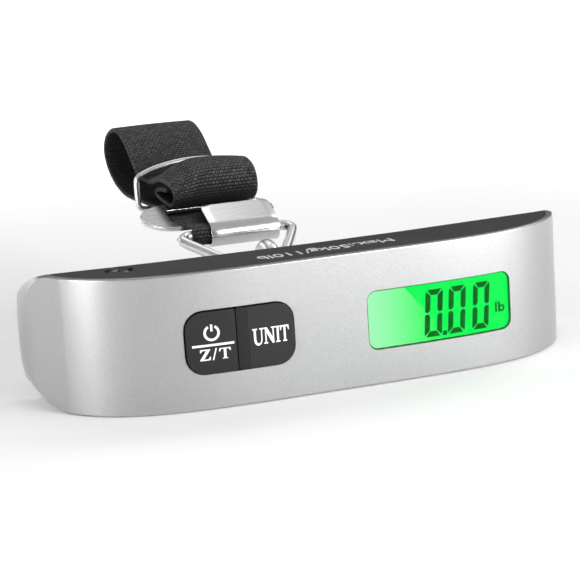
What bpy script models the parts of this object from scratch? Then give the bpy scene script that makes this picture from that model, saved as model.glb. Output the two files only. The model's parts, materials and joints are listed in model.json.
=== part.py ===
"""Digital luggage scale: a T-bar hand scale with a display, two buttons, a load hook, a ring and a strap.

Frame: +Z up, +Y towards the hook (the display faces -Y), +X to the right as the display is read.
The origin lies on the flat face that the scale stands on. Sizes are in millimetres until an object is made.
"""
import math

import bmesh
import bpy
from mathutils import Matrix, Vector

MM = 0.001

# Driving dimensions of the grip body
HEIGHT = 32.2            # flat face to flat face, along Z
HALF_RIDGE = 65.0        # half length of the flat faces, at their pointed ends
FRONT_DEPTH = 21.0       # how far the bowed front stands before the ridge's ends
FRONT_POWER = 4.7        # how square the bow is across the middle
FRONT_ROUNDING = 1.42    # how round the bow is towards the ends
END_HALF = 69.7          # half length at the widest place
END_WIDEST_Y = 9.7
END_START_Y = -6.0       # where the bow turns into the end's own curve
END_WIDEST_Z = 15.5      # height of the widest place, seen from the front
UPPER_FLAT_HALF = 63.8   # half length of the upper and lower flat edges, seen from the front
LOWER_FLAT_HALF = 62.5
RIDGE_Y = -3.5           # back edge of the top face at the middle
RIDGE_RADIUS = 603.0     # radius of the grip's hollow curve, about a vertical axis behind the body
BACK_Y = 15.5            # rearmost place at the middle
PARTING_Y = 14.6         # where the silver ends meet the black housing

GAP = 0.3                # clearance between neighbouring pieces
SHELL = 1.5              # silver shell's wall
WALL = 2.2               # black housing's wall
SEAM_HALF = 63.3         # half length of the black flat faces

# Display and buttons, on the bowed front
WINDOW = (6.6, 44.4, 8.3, 22.6)       # X from, X to, Z from, Z to
WINDOW_CORNER = 2.5
KEYS = (-37.7, -11.4, 8.3, 23.4)
KEYS_CORNER = 4.5
KEY_SPLIT_X = -25.5
KEY_PROUD = 0.7
KEY_SLOPE = 2.6          # width of the slope down to the split between the keys
KEY_BACK_Y = -17.6

# Inside
BOARD_Y = -12.2          # front face of the circuit board
BOARD_THICK = 1.2
BEAM_Y = 3.0
BEAM = (60.0, 4.0, 13.0)
BATTERY = (-12.5, -6.8)
CAP_RADIUS = 11.0

# Load hook, ring and strap
PULL_Z = 18.5
EYE_Y = 31.5
EYE_RADIUS = 7.2
EYE_WIRE = 1.9
ROD = 2.0
BAR_Y = 60.0
BAR_Z = 25.5
RING_WIRE = 1.45
RING_HALF = 17.4
RING_HEIGHT = 34.2
RING_SLOPE = math.radians(13.7)
STRAP_HALF = 12.2
WEB = 1.0                # webbing thickness
STRAP_DRIFT = -0.06      # sideways lean of the strap, per millimetre along Y
KEEPER_Y = 99.0
KEEPER_X = 0.4
KEEPER_HALF = 17.2
KEEPER_ARCH = 2.9
KEEPER_WIRE = 0.8
LOWER_RUN_Z = 29.2        # the strap's two runs at the keeper
UPPER_RUN_Z = 36.0

COLOURS = {
    "silver_paint": ((0.62, 0.62, 0.63, 1), 0.32, 0.75),
    "black_plastic": ((0.045, 0.047, 0.048, 1), 0.5, 0.0),
    "button_plastic": ((0.035, 0.036, 0.04, 1), 0.4, 0.0),
    "clear_lens": ((0.75, 0.95, 0.8, 0.35), 0.08, 0.0),
    "display_glass": ((0.05, 0.85, 0.25, 1), 0.2, 0.0),
    "diffuser": ((0.9, 0.92, 0.9, 1), 0.4, 0.0),
    "rubber": ((0.03, 0.03, 0.03, 1), 0.7, 0.0),
    "board_green": ((0.03, 0.18, 0.07, 1), 0.5, 0.0),
    "component_black": ((0.02, 0.02, 0.02, 1), 0.45, 0.0),
    "polished_steel": ((0.78, 0.78, 0.78, 1), 0.2, 1.0),
    "spring_steel": ((0.65, 0.65, 0.66, 1), 0.3, 1.0),
    "gauge_film": ((0.75, 0.5, 0.15, 1), 0.4, 0.0),
    "webbing": ((0.012, 0.012, 0.013, 1), 0.85, 0.0),
    "cable_jacket": ((0.5, 0.04, 0.03, 1), 0.5, 0.0),
}


# ---------------------------------------------------------------- scene helpers

def clear_scene():
    for existing in list(bpy.data.objects):
        bpy.data.objects.remove(existing, do_unlink=True)


def new_collection(name):
    collection = bpy.data.collections.new(name)
    bpy.context.scene.collection.children.link(collection)
    return collection


def material(name):
    found = bpy.data.materials.get(name)
    if found:
        return found
    colour, roughness, metallic = COLOURS[name]
    made = bpy.data.materials.new(name)
    made.use_nodes = True
    shader = made.node_tree.nodes["Principled BSDF"]
    shader.inputs["Base Color"].default_value = colour
    shader.inputs["Roughness"].default_value = roughness
    shader.inputs["Metallic"].default_value = metallic
    return made


def add_object(name, mesh, collection):
    made = bpy.data.objects.new(name, mesh)
    collection.objects.link(made)
    return made


def finish_part(piece, name, material_name, sharp_degrees=35):
    """Names a piece, gives it its material and its shading, and files it with the parts."""
    piece.name = name
    piece.data.name = name
    piece.data.materials.clear()
    piece.data.materials.append(material(material_name))
    piece.data.shade_smooth()
    piece.data.set_sharp_from_angle(angle=math.radians(sharp_degrees))
    for collection in list(piece.users_collection):
        collection.objects.unlink(piece)
    PARTS.objects.link(piece)
    return piece


def as_cutter(piece):
    piece.hide_render = True
    piece.display_type = "WIRE"
    return piece


def baked(piece):
    """The piece's mesh with its modifiers or its curve evaluated, welded, as one plain mesh object."""
    bpy.context.view_layer.update()
    graph = bpy.context.evaluated_depsgraph_get()
    mesh = bpy.data.meshes.new_from_object(piece.evaluated_get(graph))
    made = add_object(piece.name + "_mesh", mesh, CUTTERS)
    made.matrix_world = piece.matrix_world.copy()
    bpy.data.objects.remove(piece, do_unlink=True)
    shape = bmesh.new()
    shape.from_mesh(mesh)
    bmesh.ops.transform(shape, matrix=made.matrix_world, verts=shape.verts)
    bmesh.ops.remove_doubles(shape, verts=shape.verts, dist=0.000002)
    bmesh.ops.recalc_face_normals(shape, faces=shape.faces)
    shape.to_mesh(mesh)
    shape.free()
    made.matrix_world = Matrix.Identity(4)
    return made


def combine(piece, others, operation):
    """Applies one Boolean after another with the other pieces, which stay behind as hidden cutters."""
    for other in others:
        step = piece.modifiers.new(operation.title(), "BOOLEAN")
        step.operation = operation
        step.solver = "EXACT"
        step.object = as_cutter(other)
    return baked(piece)


# ---------------------------------------------------------------- shape helpers

def box(name, low, high):
    low, high = Vector(low) * MM, Vector(high) * MM
    shape = bmesh.new()
    bmesh.ops.create_cube(shape, size=1.0)
    bmesh.ops.scale(shape, vec=high - low, verts=shape.verts)
    bmesh.ops.translate(shape, vec=(low + high) / 2, verts=shape.verts)
    mesh = bpy.data.meshes.new(name)
    shape.to_mesh(mesh)
    shape.free()
    return add_object(name, mesh, CUTTERS)


def cylinder(name, centre, radius, length, axis="Z", sides=24):
    """A round bar whose middle is at centre."""
    turn = {"X": Matrix.Rotation(math.pi / 2, 4, "Y"), "Y": Matrix.Rotation(math.pi / 2, 4, "X"),
            "Z": Matrix.Identity(4)}[axis]
    shape = bmesh.new()
    bmesh.ops.create_cone(shape, cap_ends=True, segments=sides, radius1=radius * MM, radius2=radius * MM,
                          depth=length * MM)
    bmesh.ops.transform(shape, matrix=Matrix.Translation(Vector(centre) * MM) @ turn, verts=shape.verts)
    mesh = bpy.data.meshes.new(name)
    shape.to_mesh(mesh)
    shape.free()
    return add_object(name, mesh, CUTTERS)


def prism(name, outline, low, high, axis="Z"):
    """A flat closed outline drawn out along an axis.

    The outline's two numbers are X, Y for axis Z, X, Z for axis Y, and Y, Z for axis X.
    """
    curve = bpy.data.curves.new(name, "CURVE")
    curve.dimensions = "2D"
    curve.fill_mode = "BOTH"
    curve.extrude = (high - low) / 2 * MM
    spline = curve.splines.new("POLY")
    spline.points.add(len(outline) - 1)
    for point, (across, up) in zip(spline.points, outline):
        point.co = (across * MM, up * MM, 0, 1)
    spline.use_cyclic_u = True
    made = add_object(name, curve, CUTTERS)
    middle = (low + high) / 2 * MM
    made.matrix_world = {
        "Z": Matrix.Translation((0, 0, middle)),
        "Y": Matrix(((1, 0, 0, 0), (0, 0, -1, middle), (0, 1, 0, 0), (0, 0, 0, 1))),
        "X": Matrix(((0, 0, 1, middle), (1, 0, 0, 0), (0, 1, 0, 0), (0, 0, 0, 1))),
    }[axis]
    return baked(made)


def turned(name, profile, place, steps=24):
    """A closed profile of radius and height turned once round an axis that points along +Z at its place."""
    mesh = bpy.data.meshes.new(name)
    count = len(profile)
    joints = count - 1 if profile[0][0] == profile[-1][0] == 0 else count
    mesh.from_pydata([(radius * MM, 0, height * MM) for radius, height in profile],
                     [(i, (i + 1) % count) for i in range(joints)], [])
    made = add_object(name, mesh, CUTTERS)
    screw = made.modifiers.new("Screw", "SCREW")
    screw.steps = steps
    screw.render_steps = steps
    screw.use_merge_vertices = True
    screw.merge_threshold = 0.00002
    made.matrix_world = place
    return baked(made)


def wire(name, points, radius, closed, resolution=2):
    """A round wire along points, each X, Y and Z."""
    curve = bpy.data.curves.new(name, "CURVE")
    curve.dimensions = "3D"
    curve.bevel_depth = radius * MM
    curve.bevel_resolution = resolution
    curve.use_fill_caps = not closed
    spline = curve.splines.new("POLY")
    spline.points.add(len(points) - 1)
    for point, place in zip(spline.points, points):
        point.co = (*(Vector(place) * MM), 1)
    spline.use_cyclic_u = closed
    return baked(add_object(name, curve, CUTTERS))


def ribbon(name, path, half_width, thickness, drift=0.0, centre_x=0.0):
    """A band that follows a path of Y and Z, as wide as given along X, leaning sideways by drift."""
    mesh = bpy.data.meshes.new(name)
    vertices = []
    for y, z in path:
        middle = centre_x + drift * (y - BAR_Y)
        vertices += [(side * MM, y * MM, z * MM) for side in (middle - half_width, middle + half_width)]
    faces = [(2 * i, 2 * i + 1, 2 * i + 3, 2 * i + 2) for i in range(len(path) - 1)]
    mesh.from_pydata(vertices, [], faces)
    made = add_object(name, mesh, CUTTERS)
    solid = made.modifiers.new("Thickness", "SOLIDIFY")
    solid.thickness = thickness * MM
    solid.offset = 0
    solid.use_even_offset = True
    return baked(made)


def arc(centre, radius, start, end, steps):
    """Points along an arc, from one angle to another in degrees."""
    angles = [math.radians(start + (end - start) * i / steps) for i in range(steps + 1)]
    return [(centre[0] + radius * math.cos(a), centre[1] + radius * math.sin(a)) for a in angles]


def rounded_rectangle(left, right, low, high, corners, steps=5):
    """An outline with its corner radii given anticlockwise from the lower left."""
    lower_left, lower_right, upper_right, upper_left = corners
    outline = []
    for x, z, radius, start in (
        (left + lower_left, low + lower_left, lower_left, 180),
        (right - lower_right, low + lower_right, lower_right, 270),
        (right - upper_right, high - upper_right, upper_right, 0),
        (left + upper_left, high - upper_left, upper_left, 90),
    ):
        outline += arc((x, z), radius, start, start + 90, steps) if radius else [(x, z)]
    return outline


def bezier(start, first, second, end, steps):
    """Points along a cubic curve, without its first point."""
    points = []
    for i in range(1, steps + 1):
        t = i / steps
        weights = ((1 - t) ** 3, 3 * (1 - t) ** 2 * t, 3 * (1 - t) * t ** 2, t ** 3)
        points.append(tuple(sum(weight * value for weight, value in zip(weights, values))
                            for values in zip(start, first, second, end)))
    return points


# ---------------------------------------------------------------- body outlines

def front_y(x):
    """The bowed front face, as Y for an X."""
    share = min(1.0, abs(x) / HALF_RIDGE)
    return -FRONT_DEPTH * (1 - share ** FRONT_POWER) ** (1 / FRONT_ROUNDING)


def front_half_length(y):
    """Half the bow's length at a given Y, the inverse of front_y."""
    return HALF_RIDGE * (1 - (-y / FRONT_DEPTH) ** FRONT_ROUNDING) ** (1 / FRONT_POWER)


def plan_outline(inset=0.0, steps=34):
    """The body seen from above, moved inwards by inset; its back edge lies well behind the body."""
    join = (front_half_length(END_START_Y), END_START_Y)
    half = [(join[0] * math.sin(math.pi / 2 * i / steps), 0) for i in range(steps + 1)]
    half = [(x, front_y(x)) for x, _ in half]
    half += bezier(join, (join[0] + 4.0, 2.0), (END_HALF, 7.0), (END_HALF, END_WIDEST_Y), 10)
    half += bezier(half[-1], (END_HALF, 14.0), (END_HALF - 2.0, 18.5), (END_HALF - 9.0, 20.5), 7)
    half.append((END_HALF - 14.0, 24.0))
    outline = [(-x, y) for x, y in reversed(half[1:])] + half
    return moved_inwards(outline, inset) if inset else outline


def moved_inwards(outline, inset):
    """A closed anticlockwise outline moved inwards by inset."""
    moved = []
    count = len(outline)
    for i, (x, y) in enumerate(outline):
        before, after = outline[i - 1], outline[(i + 1) % count]
        first = Vector((x - before[0], y - before[1])).normalized()
        second = Vector((after[0] - x, after[1] - y)).normalized()
        normal = (Vector((-first.y, first.x)) + Vector((-second.y, second.x))).normalized()
        reach = inset / max(0.5, normal.dot(Vector((-second.y, second.x))))
        moved.append((x + normal.x * reach, y + normal.y * reach))
    return moved


def side_profile(inset=0.0):
    """The body's section at its middle, as Y and Z: flat top and bottom, and a rounded back."""
    top, bottom = HEIGHT - inset, inset
    back = BACK_Y - inset
    profile = [(-30.0, bottom - 3.0), (4.0, bottom)]
    profile += bezier((4.0, bottom), (10.5, bottom), (back, 6.5), (back, 15.5), 9)
    ridge = (RIDGE_Y - inset * 0.4, top)
    profile += bezier((back, 15.5), (back, 23.5), (9.0 - inset, 29.0 - inset), ridge, 11)
    profile.append((-30.0, top + 3.0))
    return profile


def grip_section(name, inset=0.0):
    """The side profile swept round the vertical axis behind the body, which hollows the grip lengthways."""
    axis_y = RIDGE_Y + RIDGE_RADIUS
    spread = math.radians(9.0)
    mesh = bpy.data.meshes.new(name)
    profile = side_profile(inset)
    mesh.from_pydata([(0, (y - axis_y) * MM, z * MM) for y, z in profile],
                     [], [tuple(range(len(profile)))])
    made = add_object(name, mesh, CUTTERS)
    screw = made.modifiers.new("Screw", "SCREW")
    screw.angle = 2 * spread
    screw.steps = 16
    screw.render_steps = 16
    screw.use_merge_vertices = True
    screw.merge_threshold = 0.00002
    made.matrix_world = Matrix.Translation((0, axis_y * MM, 0)) @ Matrix.Rotation(-spread, 4, "Z")
    return capped(baked(made))


def capped(piece):
    """Closes the open ends of a swept section."""
    shape = bmesh.new()
    shape.from_mesh(piece.data)
    rims = [edge for edge in shape.edges if len(edge.link_faces) == 1]
    bmesh.ops.holes_fill(shape, edges=rims, sides=0)
    bmesh.ops.recalc_face_normals(shape, faces=shape.faces)
    shape.to_mesh(piece.data)
    shape.free()
    return piece


def elevation(name, inset=0.0):
    """The body seen from the front: its ends are widest at mid height and round off above and below."""
    right = [(LOWER_FLAT_HALF, 0.0)]
    right += bezier(right[-1], (68.6, 1.2), (69.3, 8.0), (END_HALF, END_WIDEST_Z), 8)
    right += bezier(right[-1], (69.2, 22.0), (68.6, 31.6), (UPPER_FLAT_HALF, HEIGHT), 8)
    outline = right + [(-x, z) for x, z in reversed(right)]
    if inset:
        outline = moved_inwards(outline, inset)
    return prism(name, outline, -40, 40, "Y")


def body_solid(name, inset=0.0, plan_inset=None):
    """The whole grip body, moved inwards by inset."""
    plan = prism(name + "_plan", plan_outline(inset if plan_inset is None else plan_inset), -5, HEIGHT + 5)
    limits = [elevation(name + "_front", inset), grip_section(name + "_side", inset)]
    return combine(plan, limits, "INTERSECT")


def seam_prism(name, clearance):
    """What lies inside the silver shell: the black housing's room, larger by the clearance."""
    inner = prism(name, plan_outline(SHELL - clearance), -5, HEIGHT + 5)
    half = SEAM_HALF + clearance
    return combine(inner, [box(name + "_ends", (-half, -40, -6), (half, 40, HEIGHT + 6))], "INTERSECT")


def copy_of(piece, name):
    made = add_object(name, piece.data.copy(), CUTTERS)
    made.matrix_world = piece.matrix_world.copy()
    return made


# ---------------------------------------------------------------- housing pieces

def within_front(piece):
    """Trims a piece to end inside the shell's front wall."""
    limit = prism(piece.name + "_limit", plan_outline(SHELL / 2), -6, HEIGHT + 6)
    return combine(piece, [limit], "INTERSECT")


def front_tab(name, x, low, high, back_y):
    """A tab inside the shell, from the front wall backwards, that takes a cover screw."""
    return within_front(box(name, (x - 4, -30, low), (x + 4, back_y, high)))


TOP_SCREW = (-48.0, -5.6)
BOTTOM_SCREWS = ((-56.0, -3.0), (56.0, -3.0))
BOARD_SCREWS = ((-43.5, 16.0), (49.0, 16.0))


def make_front_shell(body):
    front_half = box("front_half", (-90, -60, -5), (90, PARTING_Y, 60))
    front = combine(copy_of(body, "front_shell_body"), [front_half], "INTERSECT")
    rooms = [body_solid("front_cavity", SHELL, SHELL + 0.05), seam_prism("front_room", 0.0)]
    shell = combine(front, rooms, "DIFFERENCE")
    additions = [front_tab("tab_top", TOP_SCREW[0], 25.6, HEIGHT - WALL - GAP, -2.8)]
    for index, (x, _) in enumerate(BOTTOM_SCREWS):
        additions.append(front_tab(f"tab_bottom_{index}", x, WALL + GAP, 5.6, 1.2))
    for index, (x, z) in enumerate(BOARD_SCREWS):
        post = cylinder(f"board_post_{index}", (x, BOARD_Y - GAP - 6, z), 2.6, 12, "Y", 16)
        additions.append(within_front(post))
    shell = combine(shell, additions, "UNION")
    holes = [
        prism("window_hole", rounded_rectangle(*WINDOW, [WINDOW_CORNER] * 4), -40, -10, "Y"),
        prism("keys_hole", rounded_rectangle(*KEYS, [KEYS_CORNER] * 4), -40, -14, "Y"),
        cylinder("top_screw_hole", (*TOP_SCREW, 27), 1.6, 10),
    ]
    holes += [cylinder(f"bottom_screw_hole_{i}", (x, y, 4), 1.6, 10)
              for i, (x, y) in enumerate(BOTTOM_SCREWS)]
    holes += [cylinder(f"board_screw_hole_{i}", (x, BOARD_Y, z), 1.2, 6, "Y", 12)
              for i, (x, z) in enumerate(BOARD_SCREWS)]
    return finish_part(combine(shell, holes, "DIFFERENCE"), "front_shell", "silver_paint")


def make_rear_housing(body):
    middle = combine(seam_prism("housing_middle", -GAP), [box("housing_rear", (-90, PARTING_Y + GAP, -6),
                                                               (90, 60, HEIGHT + 6))], "UNION")
    housing = combine(copy_of(body, "housing_body"), [middle], "INTERSECT")
    ends = box("cavity_ends", (-SEAM_HALF + WALL, -60, -5), (SEAM_HALF - WALL, 60, 60))
    cavity = combine(body_solid("housing_cavity", WALL, 0.0), [ends], "INTERSECT")
    housing = combine(housing, [cavity], "DIFFERENCE")
    limit = body_solid("post_limit", WALL / 2)
    posts = []
    for side in (-1, 1):
        post = box(f"beam_post_{side}", (side * 24 - 5, BEAM_Y + BEAM[1] + GAP, PULL_Z - 5),
                   (side * 24 + 5, BACK_Y + 5, PULL_Z + 5))
        posts.append(combine(post, [limit], "INTERSECT"))
    housing = combine(housing, posts, "UNION")
    notches = []
    for side in (-1, 1):
        place = (BATTERY[0] + side * 8.4, BATTERY[1] + side * 8.4, 1)
        notches.append(cylinder(f"cap_notch_{side}", place, 2.4, 6, sides=16))
    cuts = [
        cylinder("cap_hole", (*BATTERY, 1), CAP_RADIUS + GAP, 6, sides=40),
        *notches,
        cylinder("hook_hole", (0, BACK_Y, PULL_Z), 4.5, 14, "Y"),
        cylinder("top_recess", (*TOP_SCREW, HEIGHT), 3.5, 2.8, sides=28),
        cylinder("top_through", (*TOP_SCREW, HEIGHT), 1.7, 8, sides=16),
    ]
    for index, (x, y) in enumerate(BOTTOM_SCREWS):
        cuts.append(cylinder(f"bottom_recess_{index}", (x, y, 0), 2.9, 2.6))
        cuts.append(cylinder(f"bottom_through_{index}", (x, y, 0), 1.7, 8, sides=16))
    for side in (-1, 1):
        place = (side * 24, BEAM_Y + BEAM[1] + 2.5, PULL_Z)
        cuts.append(cylinder(f"beam_pilot_{side}", place, 1.7, 7, "Y", 12))
    return finish_part(combine(housing, cuts, "DIFFERENCE"), "rear_housing", "black_plastic")


def screw(name, place, head_radius, head_height, shank_radius, length, sides=20):
    """A pan-head screw with a cross recess; its head's top is at the place's origin, its shank along -Z."""
    profile = [(0, 0), (head_radius * 0.8, 0), (head_radius, -head_height * 0.45),
               (head_radius, -head_height), (shank_radius, -head_height), (shank_radius, -length + 0.6),
               (shank_radius * 0.4, -length), (0, -length)]
    made = turned(name, profile[::-1], place, sides)
    slots = []
    for turn in (0, math.pi / 2):
        slot = box(f"{name}_slot_{turn:.0f}", (-head_radius * 0.55, -0.3, -head_height * 0.5),
                   (head_radius * 0.55, 0.3, 1))
        slot.data.transform(place @ Matrix.Rotation(turn, 4, "Z"))
        slots.append(slot)
    return finish_part(combine(made, slots, "DIFFERENCE"), name, "spring_steel")


def at(x, y, z):
    return Matrix.Translation(Vector((x, y, z)) * MM)


def facing_up(x, y, z):
    return at(x, y, z)


def facing_down(x, y, z):
    return at(x, y, z) @ Matrix.Rotation(math.pi, 4, "X")


def facing_back(x, y, z):
    """The head towards +Y."""
    return at(x, y, z) @ Matrix.Rotation(-math.pi / 2, 4, "X")


def facing_front(x, y, z):
    """The head towards -Y."""
    return at(x, y, z) @ Matrix.Rotation(math.pi / 2, 4, "X")


def make_cover_screws():
    screw("cover_screw_top", facing_up(*TOP_SCREW, HEIGHT - 0.1), 2.6, 0.95, 1.3, 5.6)
    for side, (x, y) in zip(("left", "right"), BOTTOM_SCREWS):
        screw(f"cover_screw_{side}", facing_down(x, y, 0.1), 2.5, 0.9, 1.3, 5.2)


def make_battery_parts():
    x, y = BATTERY
    cap = cylinder("battery_cap_disc", (x, y, 1.2), CAP_RADIUS, 2.2, sides=40)
    lugs = []
    for side in (-1, 1):
        inner, outer = sorted((x + side * 9.8, x + side * 13.2))
        lugs.append(box(f"cap_lug_{side}", (inner, y - 1.5, WALL + GAP), (outer, y + 1.5, 3.5)))
        inner, outer = sorted((x + side * 8.6, x + side * 10.7))
        lugs.append(box(f"cap_web_{side}", (inner, y - 1.6, 1.8), (outer, y + 1.6, 3.3)))
    cap = combine(cap, lugs, "UNION")
    slot = box("cap_coin_slot", (x - 8, y - 0.9, -1), (x + 8, y + 0.9, 1.1))
    finish_part(combine(cap, [slot], "DIFFERENCE"), "battery_cap", "black_plastic")
    cell = [(0, 3.9), (8.8, 3.9), (9.0, 4.2), (9.9, 4.2), (10.0, 4.5), (10.0, 7.0), (9.8, 7.1), (0, 7.1)]
    finish_part(turned("cell", cell, at(x, y, 0), 32), "battery_cell", "polished_steel")
    holder = [(10.8, 4.1), (11.6, 4.1), (11.6, 8.8), (5.0, 8.8), (5.0, 8.1), (10.8, 8.1)]
    holder = turned("holder", holder, at(x, y, 0), 32)
    holder = combine(holder, [box("holder_limit", (-30, -16.4, 0), (10, 10, 12))], "INTERSECT")
    finish_part(holder, "battery_holder", "component_black")
    negative = [(-2.4, 7.3), (2.4, 7.3), (2.4, 7.7), (-2.0, 7.7), (-2.0, 10.4), (-2.4, 10.4)]
    made = prism("negative", [(x + a, b) for a, b in negative], y - 2, y + 2, "Y")
    finish_part(made, "battery_contact_negative", "spring_steel")
    positive = [(10.2, 4.6), (10.5, 4.6), (10.5, 7.8), (7.6, 7.8), (7.6, 7.5), (10.2, 7.5)]
    made = prism("positive", [(x - a, b) for a, b in reversed(positive)], y - 1.2, y + 1.2, "Y")
    finish_part(made, "battery_contact_positive", "spring_steel")


# ---------------------------------------------------------------- display, keys and electronics

def front_plate(name, outline, outer_inset, back_inset):
    """A plate that follows the bowed front between two insets, inside an outline of X and Z."""
    outer = prism(name + "_outer", plan_outline(outer_inset), -5, HEIGHT + 5)
    cut = prism(name + "_cut", outline, -40, -12, "Y")
    plate = combine(cut, [outer], "INTERSECT")
    return combine(plate, [prism(name + "_back", plan_outline(back_inset), -6, HEIGHT + 6)], "DIFFERENCE")


def make_display():
    left, right, low, high = WINDOW
    outline = rounded_rectangle(left + GAP, right - GAP, low + GAP, high - GAP, [WINDOW_CORNER - GAP] * 4)
    finish_part(front_plate("lens", outline, 0.35, SHELL), "display_lens", "clear_lens")
    panel = box("panel", (left - 1.0, -15.8, low - 1.5), (right + 1.0, -14.0, high + 1.6))
    finish_part(panel, "lcd_panel", "display_glass")
    light = box("light", (left - 1.0, -13.7, low + 1.2), (right + 1.0, BOARD_Y - GAP, high + 1.2))
    finish_part(light, "lcd_backlight", "diffuser")
    strip = box("strip", (left + 3.5, -13.7, low - 1.2), (right - 0.5, BOARD_Y - 0.1, low + 0.8))
    finish_part(strip, "lcd_connector", "rubber")


def key_outline(left, right, grow=0.0):
    """A key's outline: the outer corners are round like the opening, and the inner ones nearly square."""
    low, high = KEYS[2] + GAP - grow, KEYS[3] - GAP + grow
    big, small = KEYS_CORNER - GAP + grow, 0.4
    if left < KEY_SPLIT_X - 5:
        return rounded_rectangle(left - grow, right, low, high, (big, small, small, big))
    return rounded_rectangle(left, right + grow, low, high, (small, big, big, small))


def make_key(name, left, right):
    """A key cap: its face follows the bowed front; behind it a flange, and a stem for its switch."""
    face = prism(name + "_face", key_outline(left, right), -40, KEY_BACK_Y - 0.2, "Y")
    face = combine(face, [prism(name + "_front", plan_outline(-KEY_PROUD), -5, HEIGHT + 5)], "INTERSECT")
    flange = prism(name + "_rim", key_outline(left + 0.05, right - 0.05, 1.0), -40, KEY_BACK_Y, "Y")
    behind = prism(name + "_behind", plan_outline(SHELL + GAP), -6, HEIGHT + 6)
    flange = combine(flange, [behind], "INTERSECT")
    stem_end = -16.9
    middle = (left + right) / 2
    stem = cylinder(name + "_stem", (middle, (stem_end + KEY_BACK_Y - 0.6) / 2, 16.0), 1.5,
                    stem_end - KEY_BACK_Y + 0.6, "Y", 16)
    face = combine(face, [flange, stem], "UNION")
    if left > KEY_SPLIT_X:
        slope = [(left - 1, -30), (left + KEY_SLOPE, -30), (left + KEY_SLOPE, front_y(left) - KEY_PROUD),
                 (left - 1, front_y(left) - KEY_PROUD + 0.9)]
        face = combine(face, [prism(name + "_slope", slope, 0, HEIGHT)], "DIFFERENCE")
    return finish_part(face, name, "button_plastic")


def make_switch(name, x):
    base = box(name + "_base", (x - 3, -15.4, 13), (x + 3, BOARD_Y - GAP, 19))
    plunger = cylinder(name + "_plunger", (x, -15.7, 16), 1.7, 1.0, "Y", 16)
    return finish_part(combine(base, [plunger], "UNION"), name, "component_black")


def make_keys_and_switches():
    split = 0.2
    power = (KEYS[0] + GAP, KEY_SPLIT_X - split)
    unit = (KEY_SPLIT_X + split, KEYS[1] - GAP)
    for name, (left, right) in (("power_button", power), ("unit_button", unit)):
        make_key(name, left, right)
        make_switch(name.replace("button", "switch"), (left + right) / 2)


def make_electronics():
    low, high, notch = 3.2, 25.2, 11.4
    outline = [(9, low), (51, low), (51, high), (-50, high), (-50, notch), (9, notch)]
    board = prism("board", outline, BOARD_Y, BOARD_Y + BOARD_THICK, "Y")
    holes = [cylinder(f"board_hole_{i}", (x, BOARD_Y, z), 1.4, 6, "Y", 12)
             for i, (x, z) in enumerate(BOARD_SCREWS)]
    finish_part(combine(board, holes, "DIFFERENCE"), "circuit_board", "board_green")
    back = BOARD_Y + BOARD_THICK
    for side, (x, z) in zip(("left", "right"), BOARD_SCREWS):
        screw(f"board_screw_{side}", facing_back(x, back + GAP + 1.1, z), 2.0, 1.0, 0.9, 4.6, 16)
    chip = box("chip", (18, back + 0.1, 9), (30, back + 1.8, 21))
    finish_part(chip, "control_chip", "component_black")
    crystal = prism("crystal", rounded_rectangle(36, 46, 12, 16, [1.9] * 4, 4), back + 0.1, back + 3.4, "Y")
    finish_part(crystal, "quartz_crystal", "polished_steel")


# ---------------------------------------------------------------- load cell, hook, ring and strap

def make_load_cell():
    half, depth, high = BEAM[0] / 2, BEAM[1], BEAM[2] / 2
    beam = box("beam", (-half, BEAM_Y, PULL_Z - high), (half, BEAM_Y + depth, PULL_Z + high))
    holes = [cylinder("beam_hole_middle", (0, BEAM_Y, PULL_Z), ROD + 0.4, 20, "Y")]
    for side in (-1, 1):
        holes.append(cylinder(f"beam_hole_{side}", (side * 24, BEAM_Y, PULL_Z), 1.7, 20, "Y", 16))
        for end in (-1, 1):
            place = (side * 13, BEAM_Y, PULL_Z + end * (high + 1.0))
            holes.append(cylinder(f"beam_waist_{side}_{end}", place, 3.6, 20, "Y"))
    finish_part(combine(beam, holes, "DIFFERENCE"), "load_cell_beam", "spring_steel")
    for name, side in (("left", -1), ("right", 1)):
        place = facing_front(side * 24, BEAM_Y - GAP - 1.5, PULL_Z)
        screw(f"load_cell_screw_{name}", place, 2.6, 1.5, 1.3, 9.0)
        gauge = box(f"gauge_{name}", (side * 13 - 3, BEAM_Y - 0.35, PULL_Z - 1.6),
                    (side * 13 + 3, BEAM_Y - 0.1, PULL_Z + 1.6))
        finish_part(gauge, f"strain_gauge_{name}", "gauge_film")
    route = [(-16.3, 1.9, 18.5), (-17.2, 0.5, 19.4), (-18.0, -2.0, 20.6), (-18.0, -5.0, 21.6),
             (-17.6, -8.0, 22.0), (-17.2, -10.8, 22.0)]
    finish_part(wire("cable", smooth_route(route, 3), 0.6, False), "sensor_cable", "cable_jacket")


def smooth_route(points, steps):
    """A smooth curve through the points, by Catmull-Rom."""
    padded = [points[0], *points, points[-1]]
    route = [points[0]]
    for a, b, c, d in zip(padded, padded[1:], padded[2:], padded[3:]):
        for i in range(1, steps + 1):
            t = i / steps
            route.append(tuple(0.5 * (2 * q + (r - p) * t + (2 * p - 5 * q + 4 * r - s) * t ** 2
                                      + (3 * q - p - 3 * r + s) * t ** 3)
                               for p, q, r, s in zip(a, b, c, d)))
    return route


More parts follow.
